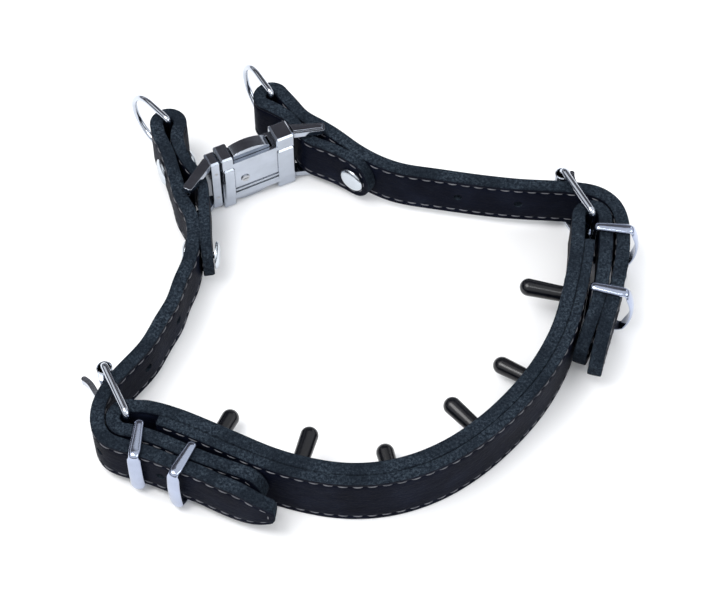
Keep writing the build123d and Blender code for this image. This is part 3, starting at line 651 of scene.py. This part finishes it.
def tail_half(left):
    """Half height of a strap with a pointed tail, at a distance from the tail's end."""
    rise = min(1.0, max(0.0, left / TAIL_LONG))
    blunt = min(1.0, max(0.0, left / TAIL_BLUNT))
    point = TAIL_HALF + (STRAP_HALF - TAIL_HALF) * math.sin(rise * math.pi / 2)
    return point * (TAIL_LEAST + (1 - TAIL_LEAST) * math.sqrt(1 - (1 - blunt) ** 2))


def liner_low(s):
    return STRAP_MIDDLE - min(tip_half(s, LINER_TIP), tail_half(liner.length - s)) - STRAP_LOW * in_band(s)


def liner_high(s):
    reach = min(tip_half(s, LINER_TIP), tail_half(liner.length - s))
    return STRAP_MIDDLE + reach + (BAND_HIGH - STRAP_TOP) * in_band(s)


# Distances along a strip at which its seams start and stop
BAND_SEAM_START, FOLD_SEAM_START, CHAPE_SEAM_START = 2, 14, 4
LOOP_SEAM_START, TAIL_SEAM_STOP, TIP_SEAM_END = 24, 22, 3
LAYER_GAP = 0.1                                     # between the band's two layers

liner_obj = strap("liner_leather", liner, LINER_THICK, liner_low, liner_high, 1)
outer = Path(even(offset_line(band, -LINER_THICK - LAYER_GAP - OUTER_THICK / 2), 1.0))
outer = Path(outer.line[(outer.s >= OUTER_START) & (outer.s <= outer.length - OUTER_STOP)])
outer_obj = strap("band_outer_leather", outer, OUTER_THICK, 0.0, BAND_HIGH, 2)
outer_thread = stitches("band_outer_thread", outer, -OUTER_THICK / 2,
                        edge_seams(BAND_SEAM_START, outer.length - BAND_SEAM_START, 0, BAND_HIGH))
liner_thread = stitches("liner_thread", liner, LINER_THICK / 2,
                        edge_seams(band_start + FOLD_SEAM_START, band_end - FOLD_SEAM_START, 0, BAND_HIGH))
chape_thread = stitches("chape_thread", liner, LINER_THICK / 2,
                        [tip_seam(left_length - CHAPE_SEAM_START, TIP_SEAM_END, SEAM_TIP),
                         tail_seam(band_end + fold_length + CHAPE_SEAM_START, liner.length)])
for obj in (liner_obj, outer_obj, outer_thread, liner_thread, chape_thread):
    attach(obj, "collar")
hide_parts("inner_strap")
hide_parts("outer_strap")

# The left strap: return leg, loop, side and tail in one strip.
left_main = smooth(LEFT_STRAP)
left_return = smooth(LEFT_INNER)[::-1]
left_arc = arc(LEFT_LOOP, LOOP_HOLE + STRAP_THICK / 2, *LEFT_LOOP_TURN)
left_path = Path(even(np.concatenate([left_return, left_arc[1:-1], left_main]), 1.0))
left_fork = length_of(left_return)


THICKEN_BEFORE, THICKEN_LONG = 14, 20               # a return leg grows to the strap's thickness here


def thickness(s, fork):
    """A rear strap's thickness, thinner in its return leg, which ends at the fork."""
    return RETURN_THICK + (STRAP_THICK - RETURN_THICK) * ease(s, fork - THICKEN_BEFORE, THICKEN_LONG)


def left_thick(s):
    return thickness(s, left_fork)


def left_low(s):
    return STRAP_MIDDLE - min(tail_half(left_path.length - s), tip_half(s, STRAP_TIP))


def left_high(s):
    return 2 * STRAP_MIDDLE - left_low(s)


left_obj = strap("left_strap_leather", left_path, left_thick, left_low, left_high, 3)
left_inside = stitches("left_strap_thread_inside", left_path, STRAP_THICK / 2,
                       edge_seams(left_fork + LOOP_SEAM_START, left_path.length - TAIL_SEAM_STOP))
left_outside = stitches("left_strap_thread_outside", left_path, -STRAP_THICK / 2,
                        [tail_seam(left_fork + LOOP_SEAM_START, left_path.length)])
left_back = stitches("left_return_thread", left_path, RETURN_THICK / 2,
                     [tip_seam(left_fork - CHAPE_SEAM_START, TIP_SEAM_END, SEAM_TIP)])
left_pieces = (left_obj, left_inside, left_outside, left_back)

# The right strap: return leg, loop, side and tail in one strip.
right_main = smooth(RIGHT_STRAP)
right_return = smooth(RIGHT_INNER)[::-1]
right_arc = arc(RIGHT_LOOP, LOOP_HOLE + STRAP_THICK / 2, *RIGHT_LOOP_TURN)
right_path = Path(even(np.concatenate([right_return, right_arc[1:-1], right_main]), 1.0))
right_fork = length_of(right_return)


def right_thick(s):
    return thickness(s, right_fork)


def right_low(s):
    return STRAP_MIDDLE - min(tail_half(right_path.length - s), tip_half(s, STRAP_TIP))


def right_high(s):
    return 2 * STRAP_MIDDLE - right_low(s)


right_obj = strap("right_strap_leather", right_path, right_thick, right_low, right_high, 4)
right_seams = [tail_seam(right_fork + LOOP_SEAM_START, right_path.length)]
right_inside = stitches("right_strap_thread_inside", right_path, -STRAP_THICK / 2, right_seams)
right_outside = stitches("right_strap_thread_outside", right_path, STRAP_THICK / 2, right_seams)
right_back = stitches("right_return_thread", right_path, RETURN_THICK / 2,
                      [tip_seam(right_fork - BAND_SEAM_START, TIP_SEAM_END, SEAM_TIP)])
for obj in (right_obj, right_inside, right_outside, right_back):
    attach(obj, "collar")
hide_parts("right_strap")


def nearest(path, point):
    """Distance along a path of the place nearest a plan point, past its return leg and loop."""
    away = np.linalg.norm(path.line - np.array(point), axis=1)
    away[: len(away) // 3] = 1e9
    return path.s[int(np.argmin(away))]


for hole in LEFT_HOLES:
    punch(left_obj, left_path, nearest(left_path, hole))
for hole in RIGHT_HOLES:
    punch(right_obj, right_path, nearest(right_path, hole))
tongue_slot(left_obj, LEFT_BUCKLE, *STRAP_SLOT)
tongue_slot(right_obj, RIGHT_BUCKLE, *STRAP_SLOT)
for buckle in (LEFT_BUCKLE, RIGHT_BUCKLE):
    tongue_slot(liner_obj, buckle, *LINER_SLOT)
for obj in (left_obj, right_obj, liner_obj):
    soften(obj)

# The left strap's pieces have their placement baked into their meshes, and the CAD's left strap parts are
# hidden.
for obj in left_pieces:
    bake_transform(obj)
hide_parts("left_strap_front", "left_strap_bend", "left_strap_rear")

# ---------------------------------------------------------------- metal pieces made here

SPRING_WIRE = 0.00035       # radius in metres
SPRING_HALF_TURNS, SPRING_STEPS, SPRING_SIDES = 3.5, 70, 8
KEEPER_HIGH = 13.5          # half of the clear height inside a keeper
KEEPER_THICK = 1.5
KEEPER_OUTSIDE = 6.3        # width over the outer face
KEEPER_NARROW, KEEPER_FLARE = 4.3, 1.5          # width at the back, and what the way to the front adds
KEEPER_STEP = 0.55          # distance between two sections of a keeper
SHOULDER = 1.2              # height of the narrow shoulder at each end of the outer face
CORNER_REACH = 1.7          # the pinched stretch at a keeper's outer bends
CORNER_PINCH, CORNER_SWELL = 0.2, 0.12
# Half-round strip: shares of the width across and of the thickness outwards
KEEPER_PROFILE = [
    (-0.5, 0), (0.5, 0), (0.5, 0.25), (0.46, 0.5), (0.36, 0.75), (0.2, 0.93), (0, 1), (-0.2, 0.93),
    (-0.36, 0.75), (-0.46, 0.5), (-0.5, 0.25),
]


def keeper(name, body, centre, angle, length, bow):
    """Half-round strip bent into a loop: narrow over the edges, pinched at its bends, wide outside."""
    half = length / 2
    rise = np.linspace(-1, 1, 40)
    front = np.stack([half + bow * (1 - rise ** 2), KEEPER_HIGH * rise], axis=1)
    top = np.stack([np.linspace(half, -half, 24), np.full(24, KEEPER_HIGH)], axis=1)
    back = np.stack([np.full(24, -half), np.linspace(KEEPER_HIGH, -KEEPER_HIGH, 24)], axis=1)
    loop = even(np.concatenate([front, top[1:], back[1:], (top * (1, -1))[::-1][1:]]), KEEPER_STEP)[:-1]
    for _ in range(3):
        loop = (np.roll(loop, 1, axis=0) + loop + np.roll(loop, -1, axis=0)) / 3
    run = np.roll(loop, -1, axis=0) - np.roll(loop, 1, axis=0)
    run /= np.linalg.norm(run, axis=1)[:, None]
    away = np.stack([run[:, 1], -run[:, 0]], axis=1)
    out = (math.cos(math.radians(angle)), math.sin(math.radians(angle)))
    verts, faces = [], []
    count = len(KEEPER_PROFILE)
    for i, (u, z) in enumerate(loop):
        corner = math.exp(-((math.hypot(u - half, abs(z) - KEEPER_HIGH) / CORNER_REACH) ** 2))
        share = min(1.0, max(0.0, (u + half) / length))
        outside = abs(z) < KEEPER_HIGH - SHOULDER and u > 0
        wide = KEEPER_OUTSIDE if outside else KEEPER_NARROW + KEEPER_FLARE * share
        wide *= 1 - CORNER_PINCH * corner
        thick = KEEPER_THICK * (1 + CORNER_SWELL * corner)
        for v, h in KEEPER_PROFILE:
            reach, up = u + away[i, 0] * h * thick, z + away[i, 1] * h * thick
            x = centre[0] + out[0] * reach - out[1] * v * wide
            y = centre[1] + out[1] * reach + out[0] * v * wide
            verts.append(place(x, y, STRAP_MIDDLE + up))
    for i in range(len(loop)):
        a, b = i * count, (i + 1) % len(loop) * count
        faces += [(a + j, a + (j + 1) % count, b + (j + 1) % count, b + j) for j in range(count)]
    obj = piece(name + "_strip", verts, faces, (KEEPER_CHROME,))
    soften(obj, 50)
    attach(obj, body)
    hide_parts(name)


# Half section of a roller: a thin tube with a sleeve on the bar deep inside it.
ROLLER_SECTION = [
    (3.15, -12.7), (3.6, -12.3), (3.6, 12.3), (3.15, 12.7), (2.9, 12.4), (2.9, 6.0), (1.8, 6.0),
    (1.8, -6.0), (2.9, -6.0), (2.9, -12.4),
]
OUTSIDE_SIDES = (0, 1, 2, 3, 9)     # the sides of that section that aren't painted near-black as shade
FRAME_LONG = 28.0


def roller(name, body, buckle):
    """Hollow tube on the buckle's end bar, with painted shade: its inside is near-black."""
    heel, aim, _ = buckle
    x, y = heel[0] + aim[0] * FRAME_LONG, heel[1] + aim[1] * FRAME_LONG
    verts, faces, marks = [], [], []
    turns, count = 36, len(ROLLER_SECTION)
    for a in np.radians(np.arange(turns) * 360 / turns):
        for radius, z in ROLLER_SECTION:
            verts.append(place(x + radius * math.cos(a), y + radius * math.sin(a), STRAP_MIDDLE + z))
    for i in range(turns):
        a, b = i * count, (i + 1) % turns * count
        for j in range(count):
            faces.append((a + j, b + j, b + (j + 1) % count, a + (j + 1) % count))
            marks.append(0 if j in OUTSIDE_SIDES else 1)
    obj = piece(name + "_tube", verts, faces, (WIRE_CHROME, HOLLOW_PAINTED_SHADE), marks)
    soften(obj, 35)
    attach(obj, body)
    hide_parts(name)


# Name, body, centre, direction of the outer face in degrees, clear length and bow of the outer face
KEEPERS = (
    ("left_keeper_1", "left_front_keeper", (-96.9, -94.2), -95.0, 17.6, 1.0),
    ("left_keeper_2", "left_rear_keeper", (-76.2, -104.2), -117.0, 17.0, 1.0),
    ("right_keeper_1", "right_front_keeper", (119.2, 19.3), -6.0, 15.8, 3.4),
    ("right_keeper_2", "right_rear_keeper", (114.6, -15.5), -14.0, 15.6, 3.4),
)
for entry in KEEPERS:
    keeper(*entry)
roller("left_roller", "left_buckle_roller", LEFT_BUCKLE)
roller("right_roller", "right_buckle_roller", RIGHT_BUCKLE)


def release_spring(name, way, replaced):
    """Half of the coil spring, from its middle to one release arm."""
    low, high = (Vector(corner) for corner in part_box("arm_spring"))
    middle = (low + high) / 2
    radius = (high.x - low.x) / 2 - SPRING_WIRE
    tall = (high.z - low.z) / 2 - SPRING_WIRE
    verts, faces = [], []
    for i in range(SPRING_STEPS + 1):
        turn = way * SPRING_HALF_TURNS * 2 * math.pi * i / SPRING_STEPS
        out = Vector((math.cos(turn), math.sin(turn), 0))
        spine = middle + out * radius + Vector((0, 0, way * tall * i / SPRING_STEPS))
        for a in np.radians(np.arange(SPRING_SIDES) * 360 / SPRING_SIDES):
            verts.append(spine + (out * math.cos(a) + Vector((0, 0, math.sin(a)))) * SPRING_WIRE)
    for i in range(SPRING_STEPS):
        a, b = i * SPRING_SIDES, (i + 1) * SPRING_SIDES
        faces += [(a + j, a + (j + 1) % SPRING_SIDES, b + (j + 1) % SPRING_SIDES, b + j)
                  for j in range(SPRING_SIDES)]
    faces.append(tuple(range(SPRING_SIDES)))
    faces.append(tuple(reversed(range(SPRING_STEPS * SPRING_SIDES, (SPRING_STEPS + 1) * SPRING_SIDES))))
    obj = piece(name, verts, faces, (STEEL,))
    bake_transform(obj)
    if replaced:
        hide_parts(replaced)


release_spring("release_spring_upper", 1, "arm_spring")
release_spring("release_spring_lower", -1, None)

# ---------------------------------------------------------------- CAD nodes that stay

SKINS = (
    ("prong_cap", RUBBER), ("prong_pin", STEEL), ("arm_pin", STEEL), ("screw", STEEL),
    ("rivet", NICKEL), ("frame", WIRE_CHROME), ("ring", WIRE_CHROME), ("tongue", WIRE_CHROME), ("", CHROME),
)
for name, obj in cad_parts.items():
    if name.endswith(("_strap", "_roller", "_spring")) or "left_strap_" in name or "_keeper_" in name:
        continue
    skin = next(skin for key, skin in SKINS if key in name)
    for slot in obj.material_slots:
        slot.material = skin
    if not obj.material_slots:
        obj.data.materials.append(skin)

# ---------------------------------------------------------------- stage

CORNERS = ((-1, -1), (1, -1), (1, 1), (-1, 1))
CARD_GREY = (0.055, 0.050, 0.055, 1)


def card(name, centre, size, facing):
    """Dark flag that only reflections see, to draw the metal's shapes."""
    aim = Vector(facing).normalized()
    side = aim.cross(Vector((0, 0, 1))).normalized()
    up = side.cross(aim).normalized()
    verts = [Vector(centre) + side * (x * size[0] / 2) + up * (y * size[1] / 2) for x, y in CORNERS]
    made, _, shader, _ = material(name + "_paint")
    shader.inputs["Base Color"].default_value = CARD_GREY
    shader.inputs["Roughness"].default_value = 1.0
    obj = piece(name, verts, [(0, 1, 2, 3)], (made,), smooth_shade=False)
    obj.visible_camera = False
    obj.visible_shadow = False
    obj.visible_diffuse = False


FLOOR_HALF, FLOOR_DROP = 2.5, -0.0002
floor_corners = [(x * FLOOR_HALF, y * FLOOR_HALF, FLOOR_DROP) for x, y in CORNERS]
floor = piece("floor", floor_corners, [(0, 1, 2, 3)], (floor_material(),), smooth_shade=False)
card("dark_flag_left", (-0.75, 0.2, 0.35), (0.9, 0.30), (1, -0.2, -0.3))
card("dark_flag_front", (0.1, -1.3, 0.25), (1.6, 0.22), (0, 1, 0))
card("dark_flag_back", (-0.04, 0.80, 0.74), (1.6, 0.80), (0, -0.7, -0.7))


def lamp(name, at, to, size, power, colour):
    """Rectangular soft light."""
    data = bpy.data.lights.new(name, "AREA")
    data.shape = "RECTANGLE"
    data.size, data.size_y = size
    data.energy = power
    data.color = colour
    obj = bpy.data.objects.new(name, data)
    obj.location = at
    obj.rotation_euler = (Vector(to) - Vector(at)).to_track_quat("-Z", "Y").to_euler()
    bpy.context.scene.collection.objects.link(obj)


lamp("key", (-0.5, -0.2, 1.1), (0, 0, 0), (0.7, 0.7), 9, (1, 0.99, 0.98))
lamp("fill", (0.9, -0.5, 0.7), (0, 0, 0), (0.8, 0.6), 3.5, (0.95, 0.97, 1))
lamp("streak", (-0.15, -0.35, 1.0), (0, 0, 0), (0.6, 0.07), 1.5, (0.95, 0.97, 1))
lamp("back", (0.5, 1.0, 0.8), (0, 0, 0), (0.8, 0.4), 4, (0.95, 0.97, 1))

world = bpy.data.worlds.new("studio")
bpy.context.scene.world = world
world.use_nodes = True
sky = world.node_tree
height = sky.nodes.new("ShaderNodeSeparateXYZ")
sky.links.new(sky.nodes.new("ShaderNodeTexCoord").outputs["Generated"], height.inputs["Vector"])
dome = ramp(sky, height.outputs["Z"], [(0.0, (0.16, 0.17, 0.19)), (0.16, (0.24, 0.25, 0.28)),
                                       (0.36, (0.95, 0.97, 1.0)), (1.0, (0.98, 0.99, 1.0))])
sky.links.new(dome, sky.nodes["Background"].inputs["Color"])
bpy.context.scene.view_settings.view_transform = "Standard"

FOCAL_PIXELS, PHOTO_WIDE = 2000, 718
CAMERA_AWAY, CAMERA_UP = 0.95, 56           # metres, and degrees above the floor
camera_data = bpy.data.cameras.new("camera")
camera_data.sensor_width = 36
camera_data.lens = FOCAL_PIXELS / PHOTO_WIDE * camera_data.sensor_width
camera_data.clip_start = 0.01
camera = bpy.data.objects.new("camera", camera_data)
bpy.context.scene.collection.objects.link(camera)
elevation = math.radians(CAMERA_UP)
target = Vector(place(0, 0, 0))
camera.location = target + Vector((0, -math.cos(elevation), math.sin(elevation))) * CAMERA_AWAY
camera.rotation_euler = (target - camera.location).to_track_quat("-Z", "Y").to_euler()
bpy.context.scene.camera = camera

bpy.context.view_layer.update()
